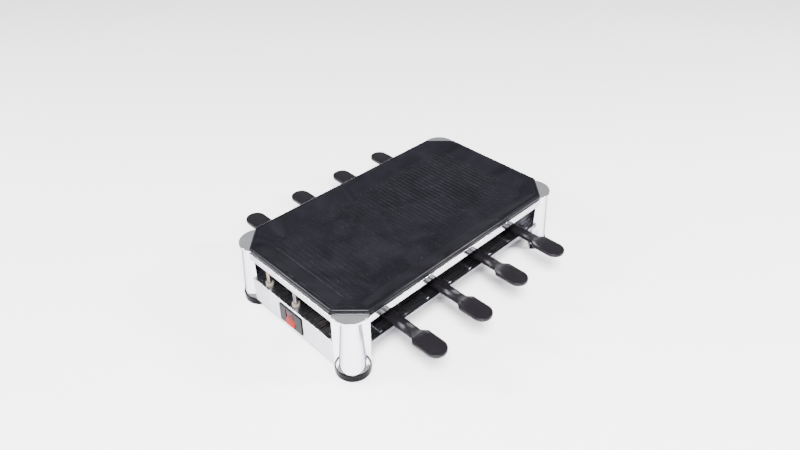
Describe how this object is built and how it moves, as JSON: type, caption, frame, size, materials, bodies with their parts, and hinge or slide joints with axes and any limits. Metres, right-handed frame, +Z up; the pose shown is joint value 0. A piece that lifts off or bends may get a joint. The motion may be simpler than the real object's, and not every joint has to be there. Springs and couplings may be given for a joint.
{
  "type": "raclette grill",
  "caption": "Table-top raclette grill with a black ribbed cast plate, a chromed surround on round corner posts, slide-in pans with paddle handles along both sides and a red rocker switch.",
  "frame": {"origin": "on the table, under the middle of the grill", "axes": "+X along the grill, away from the end with the switch; +Y across it towards the back pans; +Z up"},
  "size_m": [0.4724, 0.446, 0.1145],
  "materials": {
    "chrome": "bright chrome plating, mirror polished",
    "polished_steel": "polished stainless sheet",
    "cast_plate": "satin black non-stick coating on cast aluminium",
    "pan_coating": "satin black non-stick coating on pressed steel",
    "handle_plastic": "satin charcoal heat-proof moulding",
    "foot_rubber": "smooth black",
    "frame_steel": "heat-proof black stove paint on sheet steel",
    "strap_steel": "plain sheet steel, slightly heat tinted",
    "element_sheath": "heat-tinted stainless sheath",
    "screw_steel": "zinc plated",
    "bush_ceramic": "unglazed grey-brown steatite",
    "block_plastic": "ivory moulding",
    "switch_black": "gloss black moulding",
    "rocker_red": "translucent red moulding",
    "lamp_glass": "clear glow lamp",
    "box_steel": "galvanised sheet",
    "cutout_metal": "pressed cap on a moulded base",
    "gland_rubber": "matt black",
    "lead_brown": "brown heat-proof sleeve",
    "lead_blue": "blue heat-proof sleeve",
    "lead_earth": "green and yellow heat-proof sleeve"
  },
  "bodies": {
    "grill": {"top_rail_front": "chrome", "top_rail_back": "chrome", "top_rail_left": "chrome", "top_rail_right": "chrome", "corner_post_front_left": "chrome", "corner_post_front_right": "chrome", "corner_post_back_left": "chrome", "corner_post_back_right": "chrome", "foot_front_left": "foot_rubber", "foot_front_right": "foot_rubber", "foot_back_left": "foot_rubber", "foot_back_right": "foot_rubber", "foot_screws": "screw_steel", "corner_screws": "screw_steel", "sheet_screws": "screw_steel", "plate_carrier": "frame_steel", "heating_element": "element_sheath", "element_bushes": "bush_ceramic", "element_straps": "strap_steel", "pan_shelf": "polished_steel", "base_panel_left": "chrome", "base_panel_right": "chrome", "switch_body": "switch_black", "neon_lamp": "lamp_glass", "switch_box": "box_steel", "switch_box_cover": "box_steel", "cord_gland": "gland_rubber", "terminal_block": "block_plastic", "thermal_cutout": "cutout_metal", "lead_live": "lead_brown", "lead_switched": "lead_brown", "lead_element": "lead_brown", "lead_neutral": "lead_blue", "lead_earth": "lead_earth"},
    "plate": {"grill_plate": "cast_plate"},
    "rocker": {"switch_rocker": "rocker_red"},
    "pan_front_1": {"pan_front_1": "pan_coating", "handle_front_1": "handle_plastic", "handle_screw_front_1": "screw_steel"},
    "pan_front_2": {"pan_front_2": "pan_coating", "handle_front_2": "handle_plastic", "handle_screw_front_2": "screw_steel"},
    "pan_front_3": {"pan_front_3": "pan_coating", "handle_front_3": "handle_plastic", "handle_screw_front_3": "screw_steel"},
    "pan_front_4": {"pan_front_4": "pan_coating", "handle_front_4": "handle_plastic", "handle_screw_front_4": "screw_steel"},
    "pan_back_1": {"pan_back_1": "pan_coating", "handle_back_1": "handle_plastic", "handle_screw_back_1": "screw_steel"},
    "pan_back_2": {"pan_back_2": "pan_coating", "handle_back_2": "handle_plastic", "handle_screw_back_2": "screw_steel"},
    "pan_back_3": {"pan_back_3": "pan_coating", "handle_back_3": "handle_plastic", "handle_screw_back_3": "screw_steel"},
    "pan_back_4": {"pan_back_4": "pan_coating", "handle_back_4": "handle_plastic", "handle_screw_back_4": "screw_steel"}
  },
  "joints": [
    {"name": "plate_lift", "type": "slide", "parent": "grill", "child": "plate", "axis": [0, 0, 1], "range_m": [0, 0.08]},
    {"name": "switch_rock", "type": "hinge", "parent": "grill", "child": "rocker", "pos_m": [-0.2285, 0.002, 0.0335], "axis": [0, 1, 0], "range_deg": [-11, 0]},
    {"name": "pan_front_1_slide", "type": "slide", "parent": "grill", "child": "pan_front_1", "axis": [0, -1, 0], "range_m": [0, 0.14]},
    {"name": "pan_front_2_slide", "type": "slide", "parent": "grill", "child": "pan_front_2", "axis": [0, -1, 0], "range_m": [0, 0.14]},
    {"name": "pan_front_3_slide", "type": "slide", "parent": "grill", "child": "pan_front_3", "axis": [0, -1, 0], "range_m": [0, 0.14]},
    {"name": "pan_front_4_slide", "type": "slide", "parent": "grill", "child": "pan_front_4", "axis": [0, -1, 0], "range_m": [0, 0.14]},
    {"name": "pan_back_1_slide", "type": "slide", "parent": "grill", "child": "pan_back_1", "axis": [0, 1, 0], "range_m": [0, 0.14]},
    {"name": "pan_back_2_slide", "type": "slide", "parent": "grill", "child": "pan_back_2", "axis": [0, 1, 0], "range_m": [0, 0.14]},
    {"name": "pan_back_3_slide", "type": "slide", "parent": "grill", "child": "pan_back_3", "axis": [0, 1, 0], "range_m": [0, 0.14]},
    {"name": "pan_back_4_slide", "type": "slide", "parent": "grill", "child": "pan_back_4", "axis": [0, 1, 0], "range_m": [0, 0.14]}
  ]
}
